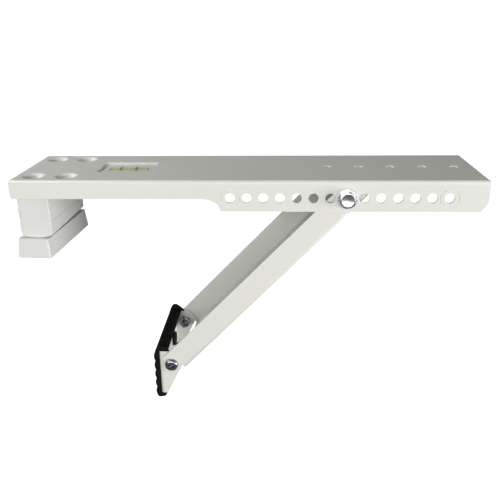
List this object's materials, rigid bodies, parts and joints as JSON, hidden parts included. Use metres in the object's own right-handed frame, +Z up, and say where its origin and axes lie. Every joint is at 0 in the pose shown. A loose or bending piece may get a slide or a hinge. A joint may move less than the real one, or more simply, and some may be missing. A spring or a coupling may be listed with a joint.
{
  "type": "window air conditioner support bracket",
  "caption": "Steel deck bracket that holds a window air conditioner: spacer stack on the sill, folding strut with a tilting rubber foot on the wall, and a spirit level.",
  "frame": {"origin": "middle of the deck's top face", "axes": "+X along the deck to the outdoor end, +Y to the far side where the pivot nut is, +Z up out of the deck"},
  "size_m": [0.4042, 0.1203, 0.2159],
  "materials": {
    "deck_paint": "satin powder coat",
    "strut_paint": "satin powder coat",
    "bracket_paint": "satin powder coat",
    "level_plastic": "fine moulded",
    "level_clear": "clear",
    "level_liquid": "clear tinted liquid",
    "level_air": "clear",
    "level_ink": "printed black",
    "spacer_plastic": "fine moulded",
    "foot_plastic": "fine moulded",
    "bolt_zinc": "bright zinc plate",
    "washer_zinc": "zinc plate",
    "spacer_nylon": "natural nylon",
    "nut_zinc": "zinc plate",
    "insert_nylon": "dyed nylon",
    "pad_rubber": "ribbed",
    "screw_zinc": "zinc plate"
  },
  "bodies": {
    "deck": {"rail": "deck_paint", "level_body": "level_plastic", "level_vial": "level_clear", "level_fluid": "level_liquid", "level_marks": "level_ink", "spacer_1": "spacer_plastic", "spacer_2": "spacer_plastic", "spacer_3": "spacer_plastic", "spacer_rocker": "spacer_plastic", "pivot_bolt": "bolt_zinc", "pivot_washer_near": "washer_zinc", "pivot_washer_far": "washer_zinc", "pivot_spacer_near": "spacer_nylon", "pivot_spacer_far": "spacer_nylon", "pivot_nut": "nut_zinc", "pivot_nut_insert": "insert_nylon"},
    "bubble": {"level_bubble": "level_air"},
    "sill_foot": {"sill_foot": "foot_plastic"},
    "strut": {"strut": "strut_paint"},
    "foot": {"foot_bracket": "bracket_paint", "foot_pad": "pad_rubber", "foot_screw_near": "screw_zinc", "foot_screw_far": "screw_zinc", "foot_washer_near": "washer_zinc", "foot_washer_far": "washer_zinc", "foot_nut_near": "nut_zinc", "foot_nut_far": "nut_zinc"}
  },
  "joints": [
    {"name": "strut_fold", "type": "hinge", "parent": "deck", "child": "strut", "pos_m": [0.085, 0, -0.015], "axis": [0, 1, 0], "range_deg": [-34, 30]},
    {"name": "foot_tilt", "type": "hinge", "parent": "strut", "child": "foot", "pos_m": [-0.07206, 0, -0.17821], "axis": [0, 1, 0], "range_deg": [-50, 8]},
    {"name": "sill_foot_tilt", "type": "hinge", "parent": "deck", "child": "sill_foot", "pos_m": [-0.1852, 0, -0.05995], "axis": [0, 1, 0], "range_deg": [-5, 5]},
    {"name": "bubble_slide", "type": "slide", "parent": "deck", "child": "bubble", "axis": [1, 0, 0], "range_m": [-0.0235, 0]}
  ]
}
